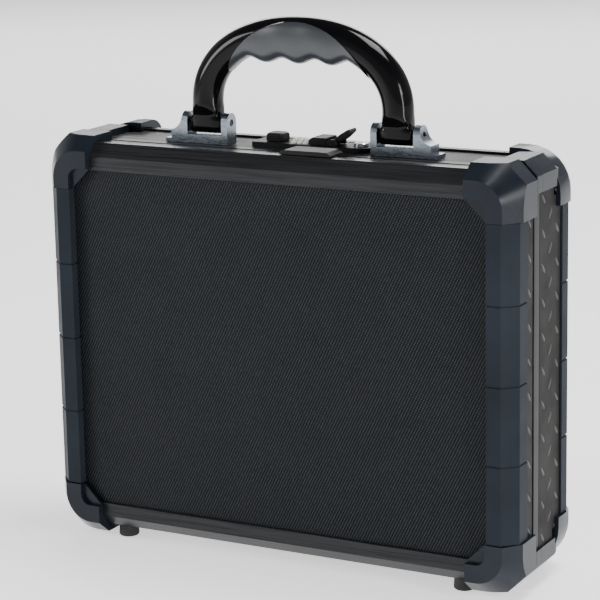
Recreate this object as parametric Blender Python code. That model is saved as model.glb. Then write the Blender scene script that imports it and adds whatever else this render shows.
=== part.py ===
"""A small aluminium attache case: a base shell, a hinged lid, a carrying handle and a combination lock.

Frame: X runs along the case, Y from the lid face (-Y) to the back (+Y), Z up. The origin lies on the
surface that the four feet stand on, below the centre of the case. All lengths are in metres.
"""

import math

import bmesh
import bpy
from mathutils import Matrix, Vector

MM = 0.001
GAP = 0.3 * MM

# Driving dimensions of the whole case.
CASE_WIDTH = 330 * MM
CASE_DEPTH = 93 * MM
CASE_HEIGHT = 257.8 * MM
FOOT_HEIGHT = 8.5 * MM
LID_DEPTH = 31.8 * MM
SEAM_WIDTH = 2.5 * MM
HANDLE_RISE = 82.2 * MM

# Walls, panels and the bare aluminium edges along the top and the bottom.
WALL = 3.0 * MM
WALL_INSET = 1.7 * MM
EDGE_SETBACK = 4.6 * MM
EDGE_SHEET = 1.5 * MM
EDGE_CHAMFER = 8.3 * MM
EDGE_FLANGE = 8.8 * MM
EDGE_WIDTH = 19.2 * MM
EDGE_HALF_LENGTH = 137.5 * MM
PANEL_FACE = 6.6 * MM
PANEL_CORNER_CUT = 15 * MM
WALL_START = 10.4 * MM

# Plastic guards along the left and right edges.
GUARD_CHAMFER = 8.8 * MM
GUARD_FLANGE = 9.6 * MM
GUARD_BODY = 6.3 * MM
LID_GUARD_WIDTH = 20.6 * MM
BASE_GUARD_WIDTH = 18.0 * MM
GUARD_PARTS = 4
GROOVE_HALF = 0.7 * MM
GROOVE_DEPTH = 0.8 * MM

# Corner protectors: an L section carried round a quarter circle.
CORNER_PROUD = 4.6 * MM
CORNER_SIDE_PROUD = 1.5 * MM
CORNER_FACE_PROUD = 1.0 * MM
CORNER_RADIUS = 27 * MM
CORNER_REACH = 34 * MM
CORNER_FLANGE = 20.3 * MM
CORNER_STEPS = 8
BLOCK_SIDE_REACH = 21.4 * MM
BLOCK_TOP_REACH = 25.5 * MM
BLOCK_CUT = 10 * MM
BASE_CORNER_WIDTH = 25.5 * MM
BLOCK_START = 27.5 * MM
BLOCK_END = 50.0 * MM

# Mouth frames and linings.
RIM_WIDTH = 8.1 * MM
RIM_CORNER = 10 * MM
TONGUE_THICK = 3.2 * MM
TONGUE_LENGTH = 7.5 * MM
TONGUE_REACH = 1.7 * MM
LINING = 2.5 * MM
LINING_CORNER = 17 * MM

# Hinges under the mouth, feet, handle and lock.
HINGE_DROP = 5.0 * MM
HINGE_X = 92 * MM
HINGE_HALF = 24 * MM
KNUCKLE_HALF = 8 * MM
KNUCKLE_RADIUS = 2.4 * MM
HINGE_PIN_RADIUS = 1.2 * MM
LEAF = 1.4 * MM
LEAF_REACH = 10.5 * MM
FOOT_X = 123 * MM
FOOT_INSET = 20.5 * MM
FOOT_RADIUS = 6.8 * MM
HANDLE_HALF_SPAN = 67.7 * MM
HANDLE_RADIUS = 9.3 * MM
PIVOT_RISE = 12.2 * MM
LEG_TOP = 25.2 * MM
ARCH_POWER = 2.15
GRIP_CUT_RADIUS = 54 * MM
GRIP_CUT_TOP = 79.9 * MM
GRIP_HALF_DEPTH = 9.8 * MM
FINGER_PITCH = 23.4 * MM
FINGER_DEPTH = 1.4 * MM
GRIP_LOW = 55.2 * MM
GRIP_HALF_LENGTH = 51 * MM
BRACKET_DEPTH = 12 * MM
EAR = 4.4 * MM
EAR_RISE = 18.7 * MM
BRACKET_INNER = 51 * MM
EAR_GAP = 25 * MM
PIN_RADIUS = 2.0 * MM

BOTTOM = FOOT_HEIGHT
TOP = FOOT_HEIGHT + CASE_HEIGHT
MIDDLE = (TOP + BOTTOM) / 2
HALF_WIDTH = CASE_WIDTH / 2
FRONT = -CASE_DEPTH / 2
BACK = CASE_DEPTH / 2
WALL_X = HALF_WIDTH - WALL_INSET
WALL_TOP = TOP - WALL_INSET
WALL_BOTTOM = BOTTOM + WALL_INSET
HINGE_Y = FRONT + LID_DEPTH + SEAM_WIDTH / 2
HINGE_Z = BOTTOM - HINGE_DROP
PIVOT_Z = TOP + PIVOT_RISE
LOCK_FRONT = FRONT + 43.2 * MM
LOCK_FLOOR = WALL_TOP + GAP
LOCK_TOP = TOP + 1.8 * MM


class Shell:
    """One half of the case: where its outer face is, and which way is inward."""

    def __init__(self, name, face, inward, mouth, guard_width):
        self.name = name
        self.face = face
        self.inward = inward
        self.mouth = mouth
        self.guard_width = guard_width

    def y(self, depth):
        """The Y of a depth behind the shell's outer face."""
        return self.face + self.inward * depth


LID = Shell("lid", FRONT, 1, LID_DEPTH, LID_GUARD_WIDTH)
BASE = Shell("base", BACK, -1, CASE_DEPTH - LID_DEPTH - SEAM_WIDTH, BASE_GUARD_WIDTH)


def clear_scene():
    for obj in list(bpy.data.objects):
        bpy.data.objects.remove(obj, do_unlink=True)


def material(name, colour, roughness, metallic=0.0):
    """A Principled material, made once for each name."""
    if name in bpy.data.materials:
        return bpy.data.materials[name]
    made = bpy.data.materials.new(name)
    made.use_nodes = True
    shader = made.node_tree.nodes["Principled BSDF"]
    shader.inputs["Base Color"].default_value = (*colour, 1.0)
    shader.inputs["Roughness"].default_value = roughness
    shader.inputs["Metallic"].default_value = metallic
    made.diffuse_color = (*colour, 1.0)
    return made


def black_aluminium():
    return material("black_aluminium", (0.03, 0.032, 0.036), 0.32, 0.9)


def textured_sheet():
    return material("textured_sheet", (0.035, 0.037, 0.042), 0.55, 0.2)


def guard_plastic():
    return material("guard_plastic", (0.05, 0.058, 0.07), 0.5)


def gloss_plastic():
    return material("gloss_plastic", (0.01, 0.01, 0.012), 0.12)


def grip_plastic():
    return material("grip_plastic", (0.045, 0.047, 0.05), 0.6)


def dark_metal():
    return material("dark_metal", (0.16, 0.17, 0.19), 0.3, 0.95)


def steel():
    return material("steel", (0.55, 0.56, 0.58), 0.3, 1.0)


def rubber():
    return material("foot_rubber", (0.02, 0.02, 0.02), 0.8)


def felt():
    return material("lining_felt", (0.03, 0.03, 0.034), 0.95)


def dial_white():
    return material("dial_white", (0.8, 0.78, 0.74), 0.45)


def add_object(name, shape, finish, origin=(0, 0, 0), smooth=False):
    """Turns a bmesh into a named object whose origin is at `origin`."""
    bmesh.ops.recalc_face_normals(shape, faces=shape.faces)
    bmesh.ops.translate(shape, verts=shape.verts, vec=-Vector(origin))
    mesh = bpy.data.meshes.new(name)
    shape.to_mesh(mesh)
    shape.free()
    if smooth:
        mesh.shade_smooth()
        mesh.set_sharp_from_angle(angle=math.radians(35))
    mesh.materials.append(finish)
    obj = bpy.data.objects.new(name, mesh)
    obj.location = origin
    bpy.context.scene.collection.objects.link(obj)
    return obj


def skin(sections):
    """A closed body through sections of equal point count, with its two ends capped."""
    shape = bmesh.new()
    loops = [[shape.verts.new(point) for point in section] for section in sections]
    count = len(loops[0])
    for near, far in zip(loops, loops[1:]):
        for i in range(count):
            j = (i + 1) % count
            shape.faces.new((near[i], near[j], far[j], far[i]))
    shape.faces.new(loops[0][::-1])
    shape.faces.new(loops[-1])
    return shape


def prism(outline, axis, start, end):
    """An outline in the plane across `axis`, extruded from start to end along it."""
    place = {
        "X": lambda a, b, c: (c, a, b),
        "Y": lambda a, b, c: (a, c, b),
        "Z": lambda a, b, c: (a, b, c),
    }[axis]
    return skin([[place(a, b, c) for a, b in outline] for c in (start, end)])


def box(low, high):
    """A block between two opposite corners."""
    outline = [(low[0], low[1]), (high[0], low[1]), (high[0], high[1]), (low[0], high[1])]
    return prism(outline, "Z", low[2], high[2])


def circle(centre, radius, count, start=0.0):
    """Points round a full circle."""
    angles = [start + 2 * math.pi * k / count for k in range(count)]
    return [(centre[0] + radius * math.cos(a), centre[1] + radius * math.sin(a)) for a in angles]


def arc(centre, radius, start, end, steps):
    """Points along an arc, both ends included; angles in degrees."""
    angles = [math.radians(start + (end - start) * k / steps) for k in range(steps + 1)]
    return [(centre[0] + radius * math.cos(a), centre[1] + radius * math.sin(a)) for a in angles]


def octagon(half_x, low_z, high_z, cut):
    """An upright rectangle with its four corners cut, as (x, z) points."""
    return [
        (-half_x + cut, low_z),
        (half_x - cut, low_z),
        (half_x, low_z + cut),
        (half_x, high_z - cut),
        (half_x - cut, high_z),
        (-half_x + cut, high_z),
        (-half_x, high_z - cut),
        (-half_x, low_z + cut),
    ]


def frame_ring(outer, inner, start, end):
    """A ring between two outlines of equal point count, from one Y to another."""
    shape = bmesh.new()
    loops = []
    for outline, y in ((outer, start), (outer, end), (inner, end), (inner, start)):
        loops.append([shape.verts.new((x, y, z)) for x, z in outline])
    count = len(outer)
    for near, far in zip(loops, loops[1:] + loops[:1]):
        for i in range(count):
            j = (i + 1) % count
            shape.faces.new((near[i], near[j], far[j], far[i]))
    return shape


def combine(target, shape, operation, name):
    """Joins or cuts a body with another, which stays as a hidden helper."""
    helper = add_object(name, shape, target.data.materials[0])
    helper.hide_render = True
    helper.display_type = "WIRE"
    modifier = target.modifiers.new(name, "BOOLEAN")
    modifier.operation = operation
    modifier.object = helper
    modifier.solver = "EXACT"
    return helper


def mirrored(points, flip):
    """The same outline, turned over in its first coordinate when flip is -1."""
    return [(flip * a, b) for a, b in points]


# Shells


def make_panel(shell):
    """The large textured sheet behind the edges and the guards."""
    half_x = HALF_WIDTH - 7.5 * MM
    outline = octagon(half_x, BOTTOM + 9 * MM, TOP - 9 * MM, PANEL_CORNER_CUT)
    shape = prism(outline, "Y", shell.y(PANEL_FACE), shell.y(PANEL_FACE + WALL))
    name = "lid_front_panel" if shell is LID else "base_back_panel"
    add_object(name, shape, textured_sheet())


def notched(shell, begin, near, far):
    """A wall's plan as (along, y): `near` is its half length beside the rounded protectors."""
    end = shell.mouth if shell is LID else shell.mouth - RIM_WIDTH - GAP
    start = shell.y(begin)
    step = shell.y(end if shell is LID else BLOCK_START + 0.5 * MM)
    finish = shell.y(end)
    if shell is LID:
        return [(-near, start), (near, start), (near, finish), (-near, finish)]
    return [
        (-near, start),
        (near, start),
        (near, step),
        (far, step),
        (far, finish),
        (-far, finish),
        (-far, step),
        (-near, step),
    ]


def make_walls(shell):
    """Four wall plates from the panel to the mouth, kept apart at the corners."""
    begin = EDGE_SETBACK + EDGE_CHAMFER + 1.1 * MM
    top_plan = notched(shell, begin, 139.3 * MM, 147.5 * MM)
    for name, low, high in (
        ("top_wall", WALL_TOP - WALL, WALL_TOP),
        ("bottom_wall", WALL_BOTTOM, WALL_BOTTOM + WALL),
    ):
        shape = prism(top_plan, "Z", low, high)
        wall = add_object(f"{shell.name}_{name}", shape, textured_sheet())
        if shell is BASE and name == "top_wall":
            cut_lock_opening(wall, "lock_opening")
    side_plan = notched(shell, WALL_START, 106.3 * MM, 113.5 * MM)
    outline = [(y, MIDDLE + along) for along, y in side_plan]
    for side, sign in (("left", -1), ("right", 1)):
        shape = prism(outline, "X", sign * (WALL_X - WALL), sign * WALL_X)
        add_object(f"{shell.name}_{side}_wall", shape, textured_sheet())


def edge_section(shell):
    """The bent aluminium edge, as (y, distance in from the case's top or bottom)."""
    t = EDGE_SHEET
    bend = t * math.tan(math.radians(22.5))
    front = EDGE_SETBACK
    points = [
        (front, EDGE_CHAMFER + EDGE_FLANGE),
        (front, EDGE_CHAMFER),
        (front + EDGE_CHAMFER, 0),
        (EDGE_WIDTH, 0),
        (EDGE_WIDTH, t),
        (front + EDGE_CHAMFER + bend, t),
        (front + t, EDGE_CHAMFER + bend),
        (front + t, EDGE_CHAMFER + EDGE_FLANGE),
    ]
    return [(shell.y(depth), inset) for depth, inset in points]


def make_edges(shell):
    """The bare aluminium edges along the top and the bottom."""
    section = edge_section(shell)
    top = [(y, TOP - inset) for y, inset in section]
    bottom = [(y, BOTTOM + inset) for y, inset in section]
    for name, outline in (("top", top), ("bottom", bottom)):
        shape = prism(outline, "X", -EDGE_HALF_LENGTH, EDGE_HALF_LENGTH)
        add_object(f"{shell.name}_edge_{name}", shape, black_aluminium())


def guard_outline(shell, sign, sunk):
    """A guard's cross-section as (x, y); `sunk` draws its outer face in, for a groove."""
    face = HALF_WIDTH - GUARD_CHAMFER
    flange = face - GUARD_FLANGE
    points = [
        (flange + sunk, sunk),
        (face, sunk),
        (HALF_WIDTH - sunk, GUARD_CHAMFER),
        (HALF_WIDTH - sunk, shell.guard_width - sunk * 0.5),
        (WALL_X + GAP, shell.guard_width - sunk * 0.5),
        (WALL_X + GAP, WALL_START - 0.5 * MM),
        (HALF_WIDTH - 6.9 * MM, WALL_START - 0.5 * MM),
        (HALF_WIDTH - 6.9 * MM, GUARD_BODY),
        (flange + sunk, GUARD_BODY),
    ]
    return [(sign * x, shell.y(depth)) for x, depth in points]


def make_guards(shell):
    """Plastic guards along the upright edges, one moulding each with grooves between its parts."""
    low = BOTTOM - CORNER_PROUD + CORNER_REACH + GAP
    high = TOP + CORNER_PROUD - CORNER_REACH - GAP
    levels = [(low, 0.0)]
    for k in range(1, GUARD_PARTS):
        z = low + (high - low) * k / GUARD_PARTS
        levels += [
            (z - GROOVE_HALF, 0.0),
            (z - GROOVE_HALF * 0.4, GROOVE_DEPTH),
            (z + GROOVE_HALF * 0.4, GROOVE_DEPTH),
            (z + GROOVE_HALF, 0.0),
        ]
    levels.append((high, 0.0))
    for side, sign in (("left", -1), ("right", 1)):
        sections = []
        for z, sunk in levels:
            sections.append([(x, y, z) for x, y in guard_outline(shell, sign, sunk)])
        add_object(f"{shell.name}_guard_{side}", skin(sections), guard_plastic())


def corner_path():
    """Stations round a corner: outer point, outward normal, and 0 at the side to 1 on top."""
    centre_x = HALF_WIDTH + CORNER_SIDE_PROUD - CORNER_RADIUS
    centre_z = CASE_HEIGHT / 2 + CORNER_PROUD - CORNER_RADIUS
    low = CASE_HEIGHT / 2 + CORNER_PROUD - CORNER_REACH
    inner = HALF_WIDTH + CORNER_SIDE_PROUD - CORNER_REACH
    stations = [((centre_x + CORNER_RADIUS, low), (1.0, 0.0), 0.0)]
    for k in range(CORNER_STEPS + 1):
        turn = math.radians(90 * k / CORNER_STEPS)
        normal = (math.cos(turn), math.sin(turn))
        point = (centre_x + CORNER_RADIUS * normal[0], centre_z + CORNER_RADIUS * normal[1])
        stations.append((point, normal, k / CORNER_STEPS))
    stations.append(((inner, centre_z + CORNER_RADIUS), (0.0, 1.0), 1.0))
    return stations


def block_path():
    """Stations round the lower block, whose corner is a flat 45 degree cut."""
    x = HALF_WIDTH + CORNER_SIDE_PROUD
    z = CASE_HEIGHT / 2 + CORNER_PROUD
    slant = math.tan(math.radians(22.5))
    return [
        ((x, z - BLOCK_SIDE_REACH), (1.0, 0.0), 0.0),
        ((x, z - BLOCK_CUT), (1.0, slant), 0.0),
        ((x - BLOCK_CUT, z), (slant, 1.0), 1.0),
        ((x - BLOCK_TOP_REACH, z), (0.0, 1.0), 1.0),
    ]


def sweep_corner(shell, path, section_at, side, level):
    """Carries a section along a path round a corner; section_at gives its (inset, depth) points."""
    sections = []
    for point, normal, turn in path:
        loop = []
        for inset, depth in section_at(turn):
            x = point[0] - inset * normal[0]
            z = point[1] - inset * normal[1]
            loop.append((side * x, shell.y(depth), MIDDLE + level * z))
        sections.append(loop)
    return skin(sections)


def corner_section(mouth):
    """The protector's section at a station: outer face, rounded edge, front flange and inner faces."""

    def section(turn):
        side_thick = 2.9 * MM + 1.4 * MM * turn
        lap_thick = 3.0 * MM + 3.1 * MM * turn
        back = 6.3 * MM - 2.0 * MM * turn
        diagonal = 13 * MM + 4 * MM * turn
        lap_start = EDGE_WIDTH + 0.4 * MM
        face = -CORNER_FACE_PROUD
        return [
            (0.0, mouth),
            (0.0, 9.6 * MM),
            (1.2 * MM, 5.6 * MM),
            (4.4 * MM, 1.0 * MM),
            (8.8 * MM, face),
            (CORNER_FLANGE, face),
            (CORNER_FLANGE, back),
            (diagonal - back, back),
            (side_thick, diagonal - side_thick),
            (side_thick, lap_start),
            (lap_thick, lap_start),
            (lap_thick, mouth),
        ]

    return section


def block_section(turn):
    """The lower block between a base corner and the mouth frame."""
    thick = 2.95 * MM + 3.1 * MM * turn
    return [
        (1.5 * MM, BLOCK_END),
        (1.5 * MM, BLOCK_START),
        (thick - 0.9 * MM, BLOCK_START),
        (thick - 0.9 * MM, BASE_CORNER_WIDTH - 1.2 * MM),
        (thick, BASE_CORNER_WIDTH - 1.2 * MM),
        (thick, BLOCK_END),
    ]


def make_corners(shell):
    """Moulded protectors over the corners, with a web across each panel corner."""
    mouth = LID_DEPTH - 0.5 * MM if shell is LID else BASE_CORNER_WIDTH
    for height, level in (("top", 1), ("bottom", -1)):
        for side_name, side in (("left", -1), ("right", 1)):
            name = f"{shell.name}_corner_{height}_{side_name}"
            shape = sweep_corner(shell, corner_path(), corner_section(mouth), side, level)
            corner = add_object(name, shape, guard_plastic(), smooth=True)
            x = HALF_WIDTH + CORNER_SIDE_PROUD
            z = CASE_HEIGHT / 2 + CORNER_PROUD
            web = [
                (x - CORNER_FLANGE + 1 * MM, z - CORNER_REACH + 0.2 * MM),
                (x - CORNER_FLANGE + 1 * MM, z - CORNER_FLANGE + 1 * MM),
                (x - CORNER_REACH + 0.2 * MM, z - CORNER_FLANGE + 1 * MM),
                (x - CORNER_REACH + 0.2 * MM, z - CORNER_FLANGE - 1 * MM),
                (x - CORNER_FLANGE - 1 * MM, z - CORNER_REACH + 0.2 * MM),
            ]
            outline = [(side * a, MIDDLE + level * b) for a, b in web]
            web_shape = prism(outline, "Y", shell.y(2.2 * MM), shell.y(4.0 * MM))
            combine(corner, web_shape, "UNION", name + "_web")
            if shell is BASE:
                block = sweep_corner(shell, block_path(), block_section, side, level)
                combine(corner, block, "UNION", name + "_block")


def make_rims():
    """The mouth frame of the base, and the lid's frame whose tongue closes the seam."""
    outer = octagon(WALL_X, WALL_BOTTOM, WALL_TOP, RIM_CORNER)
    inner_x = WALL_X - WALL
    inner = octagon(inner_x, WALL_BOTTOM + WALL, WALL_TOP - WALL, RIM_CORNER - 1.3 * MM)
    start = BASE.y(BASE.mouth)
    add_object("base_rim", frame_ring(outer, inner, start, start + RIM_WIDTH), black_aluminium())
    tongue_x = inner_x - GAP
    cut = LINING_CORNER
    outer = octagon(tongue_x, WALL_BOTTOM + WALL + GAP, WALL_TOP - WALL - GAP, cut)
    inner = octagon(
        tongue_x - TONGUE_THICK,
        WALL_BOTTOM + WALL + GAP + TONGUE_THICK,
        WALL_TOP - WALL - GAP - TONGUE_THICK,
        cut - 1.9 * MM,
    )
    end = LID.y(LID.mouth + TONGUE_REACH)
    add_object("lid_rim", frame_ring(outer, inner, end - TONGUE_LENGTH, end), black_aluminium())


def make_lining(shell):
    """A felt-covered tray inside a shell."""
    inset = WALL + GAP
    mouth = shell.mouth - 1.0 * MM
    if shell is LID:
        inset += TONGUE_THICK + GAP
    half_x = WALL_X - inset
    low = WALL_BOTTOM + inset
    high = WALL_TOP - inset
    cut = LINING_CORNER - 1.0 * MM
    outer = octagon(half_x, low, high, cut)
    inner = octagon(half_x - LINING, low + LINING, high - LINING, cut - 1.0 * MM)
    floor = PANEL_FACE + WALL + 1.0 * MM
    loops = ((outer, floor), (outer, mouth), (inner, mouth), (inner, floor + LINING))
    shape = skin([[(x, shell.y(depth), z) for x, z in outline] for outline, depth in loops])
    lining = add_object(f"{shell.name}_lining", shape, felt())
    if shell is BASE:
        cut_lock_opening(lining, "lining_opening")


def make_feet(shell):
    """Round feet with a rounded tread, under the bottom wall."""
    top = (BOTTOM if shell is LID else WALL_BOTTOM) - GAP
    for side, sign in (("left", -1), ("right", 1)):
        centre = (sign * FOOT_X, shell.y(FOOT_INSET if shell is LID else 27.5 * MM))
        sections = []
        for z, radius in (
            (0.0, FOOT_RADIUS - 1.2 * MM),
            (0.5 * MM, FOOT_RADIUS - 0.4 * MM),
            (1.4 * MM, FOOT_RADIUS),
            (top - 2 * MM, FOOT_RADIUS - 0.3 * MM),
            (top, FOOT_RADIUS - 0.3 * MM),
        ):
            sections.append([(x, y, z) for x, y in circle(centre, radius, 20)])
        add_object(f"{shell.name}_foot_{side}", skin(sections), rubber(), smooth=True)


# Hinges


def knuckle_outline(toward):
    """The knuckle's circle run into the neck that rises to the leaf, as (y, z)."""
    top = WALL_BOTTOM - GAP - 0.1 * MM
    outer = HINGE_Y + toward * KNUCKLE_RADIUS
    inner = HINGE_Y + toward * (KNUCKLE_RADIUS - 1.5 * MM)
    meet = math.degrees(math.acos((KNUCKLE_RADIUS - 1.5 * MM) / KNUCKLE_RADIUS))
    round_part = arc((0, 0), KNUCKLE_RADIUS, meet, 360, 12)
    points = [(HINGE_Y + toward * a, HINGE_Z + b) for a, b in round_part]
    return [*points, (outer, top), (inner, top)]


def make_hinges():
    """Two butt hinges under the mouth: a base leaf, a lid leaf and a pin each."""
    top = WALL_BOTTOM - GAP
    for side, sign in (("left", -1), ("right", 1)):
        x = sign * HINGE_X
        for shell, toward in ((LID, -1), (BASE, 1)):
            near = HINGE_Y + toward * (KNUCKLE_RADIUS - 1.5 * MM)
            far = near + toward * LEAF_REACH
            plate = box(
                (x - HINGE_HALF, min(near, far), top - LEAF), (x + HINGE_HALF, max(near, far), top)
            )
            name = f"hinge_{shell.name}_leaf_{side}"
            leaf = add_object(name, plate, dark_metal())
            if shell is LID:
                spans = [(x - KNUCKLE_HALF + GAP, x + KNUCKLE_HALF - GAP)]
            else:
                spans = [(x - 3 * KNUCKLE_HALF, x - KNUCKLE_HALF), (x + KNUCKLE_HALF, x + 3 * KNUCKLE_HALF)]
            for k, (start, end) in enumerate(spans):
                shrink = 0.05 * MM
                knuckle = prism(knuckle_outline(toward), "X", start + shrink, end - shrink)
                combine(leaf, knuckle, "UNION", f"{name}_knuckle_{k}")
            bore = prism(
                circle((HINGE_Y, HINGE_Z), HINGE_PIN_RADIUS + 0.25 * MM, 16),
                "X",
                x - HINGE_HALF - 1 * MM,
                x + HINGE_HALF + 1 * MM,
            )
            combine(leaf, bore, "DIFFERENCE", f"{name}_bore")
        pin = prism(
            circle((HINGE_Y, HINGE_Z), HINGE_PIN_RADIUS, 16), "X", x - HINGE_HALF, x + HINGE_HALF
        )
        add_object(f"hinge_pin_{side}", pin, steel(), origin=(x, HINGE_Y, HINGE_Z), smooth=True)


# Handle


def bracket_outline():
    """A handle bracket seen from the front, as (x, z): two ears on a foot, the outer one flared."""
    low = WALL_TOP + GAP
    inner = BRACKET_INNER
    gap_start = inner + EAR
    gap_end = gap_start + EAR_GAP
    outer = gap_end + EAR
    floor = TOP + 4.2 * MM
    high = TOP + EAR_RISE
    flare = arc((outer + 9 * MM, floor + 11.5 * MM), 9 * MM, 180, 262, 5)
    return [
        (inner, low),
        (outer + 12 * MM, low),
        (outer + 12 * MM, TOP + 1.2 * MM),
        (outer + 7.7 * MM, TOP + 1.2 * MM),
        *reversed(flare),
        (outer, high),
        (gap_end, high),
        (gap_end, floor),
        (gap_start, floor),
        (gap_start, high),
        (inner, high),
    ]


def ear_outline():
    """The brackets' side view, as (y, z): upright sides under a round head."""
    half = BRACKET_DEPTH / 2
    head = TOP + EAR_RISE - half
    low = WALL_TOP - 1 * MM
    return [(-half, low), (half, low), *arc((0, head), half, 0, 180, 10)]


def make_brackets():
    """The two handle brackets and their pins."""
    for side, sign in (("left", -1), ("right", 1)):
        half = BRACKET_DEPTH / 2
        outline = mirrored(bracket_outline(), sign)
        name = f"handle_bracket_{side}"
        bracket = add_object(name, prism(outline, "Y", -half - 1 * MM, half + 1 * MM), dark_metal())
        inner = BRACKET_INNER - 2 * MM
        outer = BRACKET_INNER + 2 * EAR + EAR_GAP + 14 * MM
        heads = prism(ear_outline(), "X", sign * inner, sign * outer)
        combine(bracket, heads, "INTERSECT", name + "_heads")
        bore = prism(
            circle((0, PIVOT_Z), PIN_RADIUS + 0.3 * MM, 16),
            "X",
            sign * inner,
            sign * (BRACKET_INNER + 2 * EAR + EAR_GAP + 1 * MM),
        )
        combine(bracket, bore, "DIFFERENCE", name + "_bore")
        start = BRACKET_INNER + 0.4 * MM
        end = BRACKET_INNER + 2 * EAR + EAR_GAP - 0.4 * MM
        pin = prism(circle((0, PIVOT_Z), PIN_RADIUS, 16), "X", sign * start, sign * end)
        centre = sign * (start + end) / 2
        add_object(
            f"handle_pin_{side}", pin, steel(), origin=(centre, 0, PIVOT_Z), smooth=True
        )


def arch_height(x, half_span, rise):
    """The height of the handle's arch above the legs at x."""
    ratio = min(abs(x) / half_span, 1.0)
    return rise * (1.0 - ratio**ARCH_POWER) ** (1.0 / ARCH_POWER)


def handle_centreline():
    """Points up one leg, over the arch and down the other leg, as (x, z)."""
    base = TOP + LEG_TOP
    rise = HANDLE_RISE - HANDLE_RADIUS - LEG_TOP
    points = []
    foot = PIVOT_Z - 6.6 * MM
    for share in (0.0, 0.14, 0.34, 0.56, 0.8, 1.0):
        points.append((-HANDLE_HALF_SPAN, foot + (base - foot) * share))
    steps = 26
    for k in range(1, steps):
        turn = math.pi * (1 - k / steps)
        power = 2.0 / ARCH_POWER
        x = HANDLE_HALF_SPAN * math.copysign(abs(math.cos(turn)) ** power, math.cos(turn))
        points.append((x, base + rise * math.sin(turn) ** power))
    legs = points[:6]
    points += [(-x, z) for x, z in reversed(legs)]
    return points


def handle_half_sizes(z):
    """Half width and half depth of the handle's tube at a height; the leg ends are flat-sided lugs."""
    above = (z - PIVOT_Z) / MM
    blend = min(max((above - 4.0) / 9.0, 0.0), 1.0)
    blend = blend * blend * (3 - 2 * blend)
    lug_x = EAR_GAP / 2 - 0.5 * MM
    lug_y = 7.0 * MM
    half_x = lug_x + (HANDLE_RADIUS - lug_x) * blend
    half_y = lug_y + (HANDLE_RADIUS - lug_y) * blend
    if above < -2.5:
        half_y *= 0.62 if above < -5.5 else 0.93
    return half_x, half_y, 3.4 + (2.0 - 3.4) * blend


def make_handle_arch():
    """The glossy arch: a tube carried along the centreline, with lugs at its ends."""
    points = handle_centreline()
    sections = []
    last = len(points) - 1
    for k, (x, z) in enumerate(points):
        before = points[max(k - 1, 0)]
        after = points[min(k + 1, last)]
        run = Vector((after[0] - before[0], 0, after[1] - before[1])).normalized()
        across = Vector((-run.z, 0, run.x))
        half_x, half_y, power = handle_half_sizes(z)
        loop = []
        for j in range(20):
            turn = 2 * math.pi * j / 20
            a = math.copysign(abs(math.cos(turn)) ** (2 / power), math.cos(turn))
            b = math.copysign(abs(math.sin(turn)) ** (2 / power), math.sin(turn))
            loop.append(Vector((x, 0, z)) + across * half_x * a + Vector((0, half_y * b, 0)))
        sections.append(loop)
    arch = add_object("handle_arch", skin(sections), gloss_plastic(), (0, 0, PIVOT_Z), smooth=True)
    centre_z = TOP + GRIP_CUT_TOP - GRIP_CUT_RADIUS
    disc = prism(circle((0, centre_z), GRIP_CUT_RADIUS, 64), "Y", -12 * MM, 12 * MM)
    combine(arch, disc, "DIFFERENCE", "handle_arch_grip_seat")
    for side, sign in (("left", -1), ("right", 1)):
        start = sign * (HANDLE_HALF_SPAN - 15 * MM)
        end = sign * (HANDLE_HALF_SPAN + 15 * MM)
        bore = prism(circle((0, PIVOT_Z), PIN_RADIUS + 0.3 * MM, 16), "X", start, end)
        combine(arch, bore, "DIFFERENCE", f"handle_arch_bore_{side}")


def grip_bottom(x):
    """The lower line of the grip: four finger hollows between rounded ridges."""
    wave = FINGER_DEPTH * math.cos(2 * math.pi * (x - FINGER_PITCH / 2) / FINGER_PITCH)
    return TOP + GRIP_LOW + wave


def make_grip():
    """The matt grip under the arch, with its finger hollows, cut to the arch's round seat."""
    base = TOP + LEG_TOP
    outer_span = HANDLE_HALF_SPAN + HANDLE_RADIUS
    outer_rise = HANDLE_RISE - LEG_TOP
    inner_span = HANDLE_HALF_SPAN - HANDLE_RADIUS
    inner_rise = outer_rise - 2 * HANDLE_RADIUS
    count = 52
    sections = []
    for k in range(count + 1):
        x = -GRIP_HALF_LENGTH + 2 * GRIP_HALF_LENGTH * k / count
        high = base + arch_height(x, outer_span, outer_rise)
        inner = base + arch_height(x, inner_span, inner_rise)
        low = min(grip_bottom(x), inner)
        centre = (high + low) / 2
        half = (high - low) / 2
        loop = []
        for j in range(16):
            turn = 2 * math.pi * j / 16
            a = math.copysign(abs(math.cos(turn)) ** 0.85, math.cos(turn))
            b = math.copysign(abs(math.sin(turn)) ** 0.85, math.sin(turn))
            loop.append((x, GRIP_HALF_DEPTH * a, centre + half * b))
        sections.append(loop)
    grip = add_object("handle_grip", skin(sections), grip_plastic(), (0, 0, PIVOT_Z), smooth=True)
    centre_z = TOP + GRIP_CUT_TOP - GRIP_CUT_RADIUS
    disc = prism(circle((0, centre_z), GRIP_CUT_RADIUS - GAP, 64), "Y", -12 * MM, 12 * MM)
    combine(grip, disc, "INTERSECT", "handle_grip_outline")


# Lock


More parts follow.
